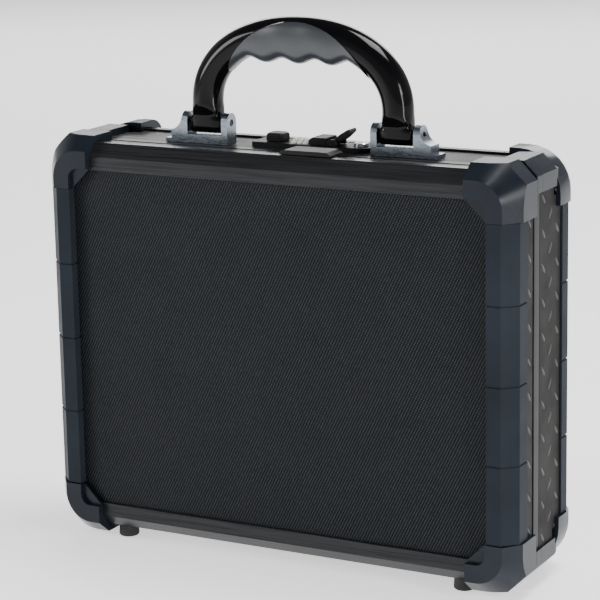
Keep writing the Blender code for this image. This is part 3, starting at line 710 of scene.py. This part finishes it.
@dataclass
class Studio:
    """The camera, the pale floor and the soft lights."""

    eye: Point = (0.7031, -1.2995, 0.5104)
    azimuth: float = 28.54
    elevation: float = 13.08
    roll: float = -1.12
    lens: float = 142.26
    aim: Point = (0.0, 0.0, 0.14)
    floor_half_size: float = 60.0
    floor_colour: Colour = (0.86, 0.86, 0.86)
    floor_glow: float = 0.95
    horizon: float = 0.45
    overhead: float = 0.1
    fade: tuple[float, float] = (0.25, 0.7)

    def build(self) -> None:
        """Sets up everything."""
        self.place_camera()
        self.lay_floor()
        self.set_world()
        self.hang_light("key_light", (0.45, 0.35, 1.7), (0.9, 0.7), 32.0)
        self.hang_light("back_light", (-1.2, 2.8, 1.5), (3.0, 1.2), 58.0)
        self.hang_light("left_light", (-2.2, -1.6, 1.0), (0.8, 1.4), 52.0)
        self.hang_light("right_light", (1.9, -0.55, 0.95), (0.35, 0.45), 9.0)
        self.hang_light("right_strip", (0.95, -0.33, 0.3), (0.12, 0.6), 4.5)

    def place_camera(self) -> None:
        """Makes the camera."""
        data = bpy.data.cameras.new("camera")
        data.lens = self.lens
        data.sensor_width = 36.0
        data.clip_start = 0.05
        camera = bpy.data.objects.new("camera", data)
        bpy.context.scene.collection.objects.link(camera)
        turn = Matrix.Rotation(math.radians(self.azimuth), 4, "Z")
        turn = turn @ Matrix.Rotation(math.radians(90 - self.elevation), 4, "X")
        turn = turn @ Matrix.Rotation(math.radians(self.roll), 4, "Z")
        camera.matrix_world = Matrix.Translation(self.eye) @ turn
        bpy.context.scene.camera = camera

    def lay_floor(self) -> None:
        """Makes the pale floor."""
        shape = bmesh.new()
        bmesh.ops.create_grid(shape, x_segments=1, y_segments=1, size=self.floor_half_size)
        mesh = bpy.data.meshes.new("floor")
        shape.to_mesh(mesh)
        shape.free()
        floor = bpy.data.objects.new("floor", mesh)
        bpy.context.scene.collection.objects.link(floor)
        material = bpy.data.materials.new("floor_paint")
        material.use_nodes = True
        shader = material.node_tree.nodes["Principled BSDF"]
        shader.inputs["Base Color"].default_value = (*self.floor_colour, 1.0)
        shader.inputs["Roughness"].default_value = 0.9
        shader.inputs["Specular IOR Level"].default_value = 0.1
        shader.inputs["Emission Color"].default_value = (1.0, 1.0, 1.0, 1.0)
        shader.inputs["Emission Strength"].default_value = self.floor_glow
        mesh.materials.append(material)

    def set_world(self) -> None:
        """Makes a soft surround, bright at the horizon and dark overhead."""
        world = bpy.data.worlds.new("surround")
        world.use_nodes = True
        tree = world.node_tree
        background = tree.nodes["Background"]
        place = tree.nodes.new("ShaderNodeTexCoord")
        split = tree.nodes.new("ShaderNodeSeparateXYZ")
        fade = tree.nodes.new("ShaderNodeMapRange")
        fade.interpolation_type = "SMOOTHSTEP"
        fade.inputs["From Min"].default_value = self.fade[0]
        fade.inputs["From Max"].default_value = self.fade[1]
        fade.inputs["To Min"].default_value = self.horizon
        fade.inputs["To Max"].default_value = self.overhead
        tree.links.new(place.outputs["Generated"], split.inputs[0])
        tree.links.new(split.outputs["Z"], fade.inputs["Value"])
        tree.links.new(fade.outputs["Result"], background.inputs["Strength"])
        background.inputs["Color"].default_value = (1.0, 1.0, 1.0, 1.0)
        bpy.context.scene.world = world

    def hang_light(self, name: str, place: Point, size: tuple[float, float], power: float) -> None:
        """Hangs one soft box that points at the case.

        Args:
            name: The light's name.
            place: Where it hangs.
            size: Its width and height.
            power: Its power in watts.
        """
        data = bpy.data.lights.new(name, "AREA")
        data.shape = "RECTANGLE"
        data.size = size[0]
        data.size_y = size[1]
        data.energy = power
        light = bpy.data.objects.new(name, data)
        bpy.context.scene.collection.objects.link(light)
        light.location = place
        aim = Vector(self.aim) - Vector(place)
        light.rotation_euler = aim.to_track_quat("-Z", "Y").to_euler()


@dataclass
class Case:
    """The two shells: their sheets, aluminium edges, guards and corner protectors."""

    nodes: dict[str, bpy.types.Object]
    sharp_edge: float = 0.35 * MM

    def dress(self) -> None:
        """Dresses every carried-over part of the shells."""
        for shell, panel in (("base", "base_back_panel"), ("lid", "lid_front_panel")):
            self.finish_node(panel, WEAVE, 0.3 * MM)
            self.finish_node(f"{shell}_bottom_wall", SMOOTH_SHEET)
            for side in ("left", "right"):
                self.finish_node(f"{shell}_{side}_wall", WALL_SHEET)
                self.finish_node(f"{shell}_guard_{side}", GUARD, 0.5 * MM)
                self.finish_node(f"{shell}_foot_{side}", RUBBER, 0.3 * MM)
                if shell == "base":
                    for level in ("top", "bottom"):
                        # The base corners wear the darker copy of the guard plastic, painted shade.
                        self.finish_node(f"base_corner_{level}_{side}", SHADED_CORNER, 0.5 * MM)
                self.finish_node(f"hinge_{shell}_leaf_{side}", HINGE_METAL, 0.2 * MM)
            for level in ("top", "bottom"):
                self.finish_node(f"{shell}_edge_{level}", ANODISED, 0.45 * MM)
            self.finish_node(f"{shell}_rim", RIM_METAL, 0.4 * MM)
            self.finish_node(f"{shell}_lining", FELT, 0.8 * MM)
        # The base's top wall wears the weave's lighter copy, painted light on the upward face.
        self.finish_node("base_top_wall", LIT_TOP_WEAVE)
        self.finish_node("lid_top_wall", SMOOTH_SHEET)
        for side in ("left", "right"):
            self.finish_node(f"hinge_pin_{side}", STEEL)

    def finish_node(self, name: str, finish: Finish, edge: float | None = None) -> None:
        """Gives a carried-over part its finish and rounds its edges.

        Args:
            name: The part.
            finish: The finish.
            edge: The width of its rounded edges.
        """
        node = self.nodes[name]
        Wardrobe.dress(node, finish)
        soften(node, edge or self.sharp_edge)
        LOG.info("%s: dressed in %s", name, finish.name)


@dataclass
class Corners:
    """The lid's corner protectors and the collars in front of the base's, swept round each corner.

    A pair of lengths is the one at the side, and how much it gains by the top.
    """

    radius: float = 27.0 * MM
    reach: float = 34.0 * MM
    flange: float = 20.3 * MM
    edge: float = 8.8 * MM
    slope: float = 1.3
    cut: float = 12.0 * MM
    lap: float = 20.6 * MM
    steps: int = 5
    wall: tuple[float, float] = (2.9 * MM, 1.4 * MM)
    lap_wall: tuple[float, float] = (3.0 * MM, 3.1 * MM)
    flange_back: tuple[float, float] = (7.3 * MM, -2.0 * MM)
    inner_slant: tuple[float, float] = (14.0 * MM, 4.0 * MM)
    web_lap: float = 1.0 * MM
    web_gap: float = 0.2 * MM
    web_cut: float = 2.0 * MM
    web_depths: tuple[float, float] = (3.2 * MM, 5.0 * MM)
    collar_cut: float = 10.0 * MM
    collar_side: float = 21.4 * MM
    collar_top: float = 25.5 * MM
    collar_inset: float = 1.5 * MM
    collar_thick: float = 3.0 * MM
    collar_start: float = 0.5 * MM
    collar_overlap: float = 0.2 * MM

    def build(self) -> None:
        """Builds every protector and collar."""
        for level, up in (("top", 1.0), ("bottom", -1.0)):
            for side, out in (("left", -1.0), ("right", 1.0)):
                self.protector(level, up, side, out)
                self.collar(level, up, side, out)

    def tip(self, name: str, up: float, out: float) -> Vector:
        """The outermost front corner of a carried-over part's box."""
        low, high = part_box(name)
        return Vector((high.x if out > 0 else low.x, low.y, high.z if up > 0 else low.z))

    def protector(self, level: str, up: float, side: str, out: float) -> None:
        """Builds one protector of the lid, round in front and flat-cut at the mouth.

        Args:
            level: "top" or "bottom".
            up: 1 at the top, -1 at the bottom.
            side: "left" or "right".
            out: 1 on the right, -1 on the left.
        """
        node = f"lid_corner_{level}_{side}"
        tip = self.tip(node, up, out)
        low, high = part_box(node)
        mouth = high.y - low.y
        sections = []
        for along, rise, normal, turn, spread in self.stations():
            ring = []
            for inset, depth in self.section(mouth, turn, spread):
                x = tip.x - out * (along + inset * normal[0])
                z = tip.z - up * (rise + inset * normal[1])
                ring.append((x, tip.y + depth, z))
            sections.append(ring)
        shape = skin(sections)
        merge(shape, self.web(tip, up, out))
        piece = new_piece(f"lid_protector_{level}_{side}", shape, SHADED_CORNER, Body.LID)
        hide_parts(node)
        soften(piece, 0.5 * MM, segments=3, limit=20.0)

    def stations(self) -> list[tuple[float, float, tuple[float, float], float, float]]:
        """Steps round a corner, as inward distances, outward normal, turn and spread of the outline."""
        knee = math.degrees(math.atan2(self.radius - self.cut, self.radius))
        first = [knee * k / self.steps for k in range(self.steps + 1)]
        middle = [knee + (90 - 2 * knee) * k / self.steps for k in range(1, self.steps)]
        found = [(0.0, self.reach, (1.0, 0.0), 0.0, 0.0)]
        for degrees in (*first, *middle, *(90 - value for value in reversed(first))):
            turn = math.radians(degrees)
            normal = (math.cos(turn), math.sin(turn))
            flat = (2 * self.radius - self.cut) / (normal[0] + normal[1])
            spread = min(self.radius / max(normal), flat) - self.radius
            along = self.radius * (1 - normal[0])
            rise = self.radius * (1 - normal[1])
            found.append((along, rise, normal, degrees / 90, spread))
        found.append((self.reach, 0.0, (0.0, 1.0), 1.0, 0.0))
        return found

    def section(self, mouth: float, turn: float, spread: float) -> Outline:
        """The protector's section, as inset from the outline and depth behind its front."""
        side_thick = self.wall[0] + self.wall[1] * turn
        lap_thick = self.lap_wall[0] + self.lap_wall[1] * turn
        back = self.flange_back[0] + self.flange_back[1] * turn
        diagonal = self.inner_slant[0] + self.inner_slant[1] * turn
        return [
            (-spread, mouth),
            (-spread, self.slope * (self.edge + spread)),
            (self.edge, 0.0),
            (self.flange, 0.0),
            (self.flange, back),
            (diagonal - back, back),
            (side_thick, diagonal - side_thick),
            (side_thick, self.lap),
            (lap_thick, self.lap),
            (lap_thick, mouth),
        ]

    def web(self, tip: Vector, up: float, out: float) -> bmesh.types.BMesh:
        """The flat web that covers the panel's cut corner."""
        near = self.flange - self.web_lap
        far = self.reach - self.web_gap
        cut = near + self.web_cut
        outline = [(near, far), (near, near), (far, near), (far, cut), (cut, far)]
        sections = []
        for depth in self.web_depths:
            sections.append([(tip.x - out * a, tip.y + depth, tip.z - up * b) for a, b in outline])
        shape = skin(sections)
        bmesh.ops.recalc_face_normals(shape, faces=shape.faces)
        return shape

    def collar(self, level: str, up: float, side: str, out: float) -> None:
        """Builds the collar that carries a base protector forward over the mouth frame.

        Args:
            level: "top" or "bottom".
            up: 1 at the top, -1 at the bottom.
            side: "left" or "right".
            out: 1 on the right, -1 on the left.
        """
        tip = self.tip(f"base_corner_{level}_{side}", up, out)
        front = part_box("base_rim")[0].y + self.collar_start
        slant = math.tan(math.radians(45 / 2))
        sections = []
        for along, rise, normal in (
            (0.0, self.collar_side, (1.0, 0.0)),
            (0.0, self.collar_cut, (1.0, slant)),
            (self.collar_cut, 0.0, (slant, 1.0)),
            (self.collar_top, 0.0, (0.0, 1.0)),
        ):
            ring = []
            for inset, y in (
                (self.collar_inset, front),
                (self.collar_inset, tip.y + self.collar_overlap),
                (self.collar_thick, tip.y + self.collar_overlap),
                (self.collar_thick, front),
            ):
                x = tip.x - out * (along + inset * normal[0])
                z = tip.z - up * (rise + inset * normal[1])
                ring.append((x, y, z))
            sections.append(ring)
        piece = new_piece(f"base_collar_{level}_{side}", skin(sections), SHADED_CORNER, Body.BASE)
        soften(piece, 0.4 * MM)


@dataclass
class Treads:
    """Raised lens-shaped treads on the side walls, leaning each way in turn."""

    length: float = 8.2 * MM
    width: float = 2.0 * MM
    height: float = 0.6 * MM
    column_pitch: float = 12.0 * MM
    row_pitch: float = 21.4 * MM
    steps: int = 12
    margin: float = 2.0 * MM
    reach_share: float = 0.36
    lean_run: float = 0.62
    lean_rise: float = 0.785
    tip_share: float = 0.985
    crown: float = 1.25
    sink: float = 0.3 * MM

    def build(self) -> None:
        """Makes the treads of all four side walls."""
        for wall, body in (("base", Body.BASE), ("lid", Body.LID)):
            for side, sign in (("left", -1.0), ("right", 1.0)):
                low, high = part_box(f"{wall}_{side}_wall")
                guard_low, guard_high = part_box(f"{wall}_guard_{side}")
                if body is Body.BASE:
                    first = low.y
                    last = guard_low.y
                else:
                    first = guard_high.y
                    last = high.y
                face = sign * max(abs(low.x), abs(high.x))
                shape = self.cover(face, sign, (first, last), (low.z, high.z))
                # The treads wear the lighter copy of the walls' sheet, a painted highlight.
                new_piece(f"{wall}_treads_{side}", shape, TREAD_PAINTED_HIGHLIGHT, body)

    def cover(
        self, face: float, sign: float, depth: tuple[float, float], rise: tuple[float, float]
    ) -> bmesh.types.BMesh:
        """Covers one wall.

        Args:
            face: The X of the wall's face.
            sign: The X of its outward normal.
            depth: The first and last Y of the bare wall.
            rise: The first and last Z.

        Returns:
            One mesh with every tread.
        """
        shape = bmesh.new()
        width = depth[1] - depth[0]
        columns = max(1, round(width / self.column_pitch))
        reach = self.length * self.reach_share
        rows = int((rise[1] - rise[0] - 2 * self.margin - 2 * reach) / self.row_pitch) + 1
        start = (rise[0] + rise[1] - (rows - 1) * self.row_pitch) / 2
        for column in range(columns):
            y = depth[0] + width * (column + 0.5) / columns
            lean = 1.0 if column % 2 else -1.0
            shift = self.row_pitch / 2 if column % 2 else 0.0
            for row in range(rows):
                z = start + shift + row * self.row_pitch
                if z < rise[1] - reach - self.margin:
                    merge(shape, self.tread(face, sign, y, z, lean))
        return shape

    def tread(self, face: float, sign: float, y: float, z: float, lean: float) -> bmesh.types.BMesh:
        """Makes one tread.

        Args:
            face: The X of the wall's face.
            sign: The X of its outward normal.
            y: Its middle.
            z: Its middle.
            lean: 1 to lean forward, -1 to lean back.

        Returns:
            A closed body whose foot is sunk in the wall.
        """
        run = Vector((0.0, lean * self.lean_run, self.lean_rise)).normalized()
        side = Vector((0.0, run.z, -run.y))
        half_section = [(-1.0, -0.3), (-1.0, 0.0), (-0.6, 0.75)]
        section = [*half_section, (0.0, 1.0), *((-across, lift) for across, lift in half_section[::-1])]
        sections = []
        for k in range(self.steps + 1):
            share = -self.tip_share + 2 * self.tip_share * k / self.steps
            swell = math.sqrt(1.0 - share * share)
            half = self.width / 2 * swell
            top = self.height * min(1.0, self.crown * swell)
            middle = Vector((face, y, z)) + run * (share * self.length / 2)
            ring = []
            for across, lift in section:
                rise = top * lift if lift > 0 else self.sink * lift
                ring.append(tuple(middle + side * (across * half) + Vector((sign * rise, 0.0, 0.0))))
            sections.append(ring)
        shape = skin(sections)
        bmesh.ops.recalc_face_normals(shape, faces=shape.faces)
        return shape


@dataclass
class Handle:
    """The glossy arch, the satin grip under it, and the brackets that carry them.

    The neck, swell and toe are stretches of the leg, in millimetres above the pivot.
    """

    nodes: dict[str, bpy.types.Object]
    top: float
    half_span: float = 67.7 * MM
    radius: float = 9.9 * MM
    half_depth: float = 10.4 * MM
    pivot_rise: float = 12.2 * MM
    leg_top: float = 25.2 * MM
    rise: float = 82.2 * MM
    power: float = 2.15
    lug_half: float = 12.0 * MM
    seat_radius: float = 54.0 * MM
    seat_top: float = 79.6 * MM
    grip_half_depth: float = 10.8 * MM
    grip_half_length: float = 51.0 * MM
    grip_low: float = 54.0 * MM
    finger_pitch: float = 23.1 * MM
    finger_depth: float = 1.55 * MM
    grip_roundness: float = 0.85
    seam: float = 0.3 * MM
    seat_half_width: float = 14 * MM
    lug_reach: float = 6.6 * MM
    lug_half_depth: float = 7.0 * MM
    neck_start: float = 2.0
    neck_length: float = 2.5
    swell_start: float = 4.0
    swell_length: float = 9.0
    toe_start: float = -2.0
    toe_length: float = 5.6
    toe_least: float = 0.3
    lug_power: float = 3.4
    leg_power: float = 2.0
    pin_hole: float = 2.3 * MM
    pin_hole_half: float = 15 * MM
    around: int = 48
    leg_steps: int = 24
    bend_steps: int = 72
    grip_steps: int = 150

    def build(self) -> None:
        """Builds the handle and dresses its brackets and pins."""
        arch = new_piece("handle_arch_gloss", self.arch(), GLOSS, Body.HANDLE)
        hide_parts("handle_arch")
        soften(arch, 0.35 * MM, limit=40.0)
        grip = new_piece("handle_grip_satin", self.grip(), GRIP, Body.HANDLE)
        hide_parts("handle_grip")
        soften(grip, 0.3 * MM, limit=50.0)
        for side in ("left", "right"):
            bracket = self.nodes[f"handle_bracket_{side}"]
            Wardrobe.dress(bracket, BRACKET)
            soften(bracket, 0.5 * MM, segments=3, limit=25.0)
            pin = self.nodes[f"handle_pin_{side}"]
            Wardrobe.dress(pin, DARK_PIN)
            soften(pin, 0.3 * MM)

    def centreline(self) -> Outline:
        """Points up the left leg, over the arch and down the right leg, as (x, z)."""
        pivot = self.top + self.pivot_rise
        base = self.top + self.leg_top
        crown = self.rise - self.radius - self.leg_top
        foot = pivot - self.lug_reach
        steps = self.leg_steps
        left = [(-self.half_span, foot + (base - foot) * k / steps) for k in range(steps + 1)]
        points = list(left)
        for k in range(1, self.bend_steps):
            across, up = squarish(math.pi * (1 - k / self.bend_steps), 2.0 / self.power)
            points.append((self.half_span * across, base + crown * up))
        points += [(-x, z) for x, z in reversed(left)]
        return points

    def half_sizes(self, z: float) -> tuple[float, float, float]:
        """Half width, half depth and squareness of the section at a height.

        Above the pivot the flat lug narrows to the leg's width at the neck, and swells to the leg's
        round shape. Below it the depth tapers off towards the toe.
        """
        above = (z - self.top - self.pivot_rise) / MM
        narrow = min(max((above - self.neck_start) / self.neck_length, 0.0), 1.0)
        blend = min(max((above - self.swell_start) / self.swell_length, 0.0), 1.0)
        blend = blend * blend * (3 - 2 * blend)
        half_x = self.lug_half + (self.radius - self.lug_half) * narrow
        half_y = self.lug_half_depth + (self.half_depth - self.lug_half_depth) * blend
        if above < self.toe_start:
            share = (self.toe_start - above) / self.toe_length
            half_y *= math.sqrt(max(self.toe_least, 1.0 - share**2))
        return half_x, half_y, self.lug_power + (self.leg_power - self.lug_power) * blend

    def arch(self) -> bmesh.types.BMesh:
        """The arch, with its grip seat and pin holes cut."""
        points = self.centreline()
        last = len(points) - 1
        sections = []
        for k, (x, z) in enumerate(points):
            before = points[max(k - 1, 0)]
            after = points[min(k + 1, last)]
            run = Vector((after[0] - before[0], 0.0, after[1] - before[1])).normalized()
            across = Vector((-run.z, 0.0, run.x))
            half_x, half_y, power = self.half_sizes(z)
            middle = Vector((x, 0.0, z))
            ring = []
            for j in range(self.around):
                a, b = squarish(2 * math.pi * j / self.around, 2 / power)
                ring.append(tuple(middle + across * half_x * a + Vector((0.0, half_y * b, 0.0))))
            sections.append(ring)
        pivot = self.top + self.pivot_rise
        tools = [(self.seat(self.seat_radius), "DIFFERENCE")]
        for sign in (-1.0, 1.0):
            start = sign * self.half_span - self.pin_hole_half
            end = sign * self.half_span + self.pin_hole_half
            ends = [(self.pin_hole, start), (self.pin_hole, end)]
            tools.append((turned(ends, (0.0, 0.0, pivot), "X", 24), "DIFFERENCE"))
        return carve(skin(sections), tools)

    def seat(self, radius: float) -> bmesh.types.BMesh:
        """The disc whose edge parts the grip from the arch."""
        middle = (0.0, 0.0, self.top + self.seat_top - self.seat_radius)
        ends = [(radius, -self.seat_half_width), (radius, self.seat_half_width)]
        return turned(ends, middle, "Y", 160)

    def grip(self) -> bmesh.types.BMesh:
        """The grip, with its finger hollows."""
        base = self.top + self.leg_top
        outer_span = self.half_span + self.radius
        outer_rise = self.rise - self.leg_top
        inner_span = self.half_span - self.radius
        inner_rise = outer_rise - 2 * self.radius
        sections = []
        for k in range(self.grip_steps + 1):
            x = -self.grip_half_length + 2 * self.grip_half_length * k / self.grip_steps
            high = base + self.arch_height(x, outer_span, outer_rise)
            inner = base + self.arch_height(x, inner_span, inner_rise)
            wave = math.cos(2 * math.pi * (x - self.finger_pitch / 2) / self.finger_pitch)
            low = min(self.top + self.grip_low + self.finger_depth * wave, inner)
            middle = (high + low) / 2
            half = (high - low) / 2
            ring = []
            for j in range(self.around):
                a, b = squarish(2 * math.pi * j / self.around, self.grip_roundness)
                ring.append((x, self.grip_half_depth * a, middle + half * b))
            sections.append(ring)
        return carve(skin(sections), [(self.seat(self.seat_radius - self.seam), "INTERSECT")])

    def arch_height(self, x: float, span: float, rise: float) -> float:
        """The height of an arch line above the legs' tops at x."""
        ratio = min(abs(x) / span, 1.0)
        return rise * (1.0 - ratio**self.power) ** (1.0 / self.power)


@dataclass
class Lock:
    """The lock case with its slide, wheels, latch and key barrel, and the lid's strike plate."""

    nodes: dict[str, bpy.types.Object]
    dial_radius: float = 7.0 * MM
    dial_width: float = 3.1 * MM
    digits: int = 10
    numeral_height: float = 2.5 * MM
    numeral_lift: float = 0.06 * MM
    numeral_sink: float = 0.02 * MM
    rim_trim: float = 0.5 * MM
    tread_share: float = 0.72
    notch_depth: float = 0.45 * MM
    notch_power: int = 6
    around: int = 120

    def build(self) -> None:
        """Dresses the lock and builds its wheels."""
        for name, edge in (
            ("lock_case", 0.4 * MM),
            ("latch_block", 0.6 * MM),
            ("latch_ear_front", 0.4 * MM),
            ("latch_ear_back", 0.4 * MM),
            ("latch_lever", 0.5 * MM),
            ("lock_slide_button", 0.5 * MM),
            ("lid_strike_plate", 0.5 * MM),
        ):
            Wardrobe.dress(self.nodes[name], LOCK_BLACK)
            soften(self.nodes[name], edge, segments=3, limit=25.0)
        Wardrobe.dress(self.nodes["key_cylinder"], STEEL)
        soften(self.nodes["key_cylinder"], 0.3 * MM)
        for k in range(1, 4):
            self.build_wheel(k)

    def build_wheel(self, number: int) -> None:
        """Builds one number wheel.

        Args:
            number: 1 to 3.
        """
        low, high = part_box(f"lock_dial_{number}")
        centre = (low + high) / 2
        centre.z = high.z - self.dial_radius
        half = self.dial_width / 2
        flat = half * self.tread_share
        sections = []
        for x, trim in ((-half, self.rim_trim), (-flat, 0.0), (flat, 0.0), (half, self.rim_trim)):
            ring = []
            for j in range(self.around):
                turn = 2 * math.pi * j / self.around
                notch = max(0.0, math.cos(self.digits * turn)) ** self.notch_power
                radius = self.dial_radius - trim - self.notch_depth * notch
                y = centre.y + radius * math.sin(turn)
                ring.append((centre.x + x, y, centre.z + radius * math.cos(turn)))
            sections.append(ring)
        wheel = new_piece(f"number_wheel_{number}", skin(sections), DIAL, Body.BASE)
        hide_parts(f"lock_dial_{number}")
        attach(wheel, f"dial_{number}")
        marks = bmesh.new()
        for digit in range(self.digits):
            turn = 2 * math.pi * (digit + 0.5) / self.digits
            merge(marks, self.numeral(str(digit), centre, turn))
        inked = new_piece(f"numerals_{number}", marks, NUMERAL, Body.BASE, smooth=False)
        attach(inked, f"dial_{number}")

    def numeral(self, digit: str, centre: Vector, turn: float) -> bmesh.types.BMesh:
        """Makes one raised numeral, bent round its wheel.

        Args:
            digit: The character.
            centre: The middle of the wheel.
            turn: How far round the wheel it stands, in radians.

        Returns:
            The mesh.
        """
        curve = bpy.data.curves.new("numeral", "FONT")
        curve.body = digit
        curve.size = self.numeral_height
        curve.align_x = "CENTER"
        curve.align_y = "CENTER"
        curve.extrude = self.numeral_lift
        curve.resolution_u = 3
        letter = bpy.data.objects.new("numeral", curve)
        bpy.context.scene.collection.objects.link(letter)
        graph = bpy.context.evaluated_depsgraph_get()
        shape = bmesh.new()
        shape.from_mesh(letter.evaluated_get(graph).to_mesh())
        bpy.data.objects.remove(letter)
        bpy.data.curves.remove(curve)
        for vertex in shape.verts:
            across, along, lift = vertex.co
            angle = turn - along / self.dial_radius
            radius = self.dial_radius - self.numeral_sink + lift
            vertex.co = (
                centre.x + across,
                centre.y - radius * math.sin(angle),
                centre.z + radius * math.cos(angle),
            )
        return shape


def main() -> None:
    """Builds the case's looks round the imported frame."""
    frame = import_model()
    logging.basicConfig(level=logging.INFO, format="%(name)s: %(message)s")
    Studio().build()
    nodes = frame["nodes"]
    Case(nodes).dress()
    Corners().build()
    Treads().build()
    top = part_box("base_edge_top")[1].z
    Handle(nodes, top).build()
    Lock(nodes).build()


if __name__ == "__main__":
    main()
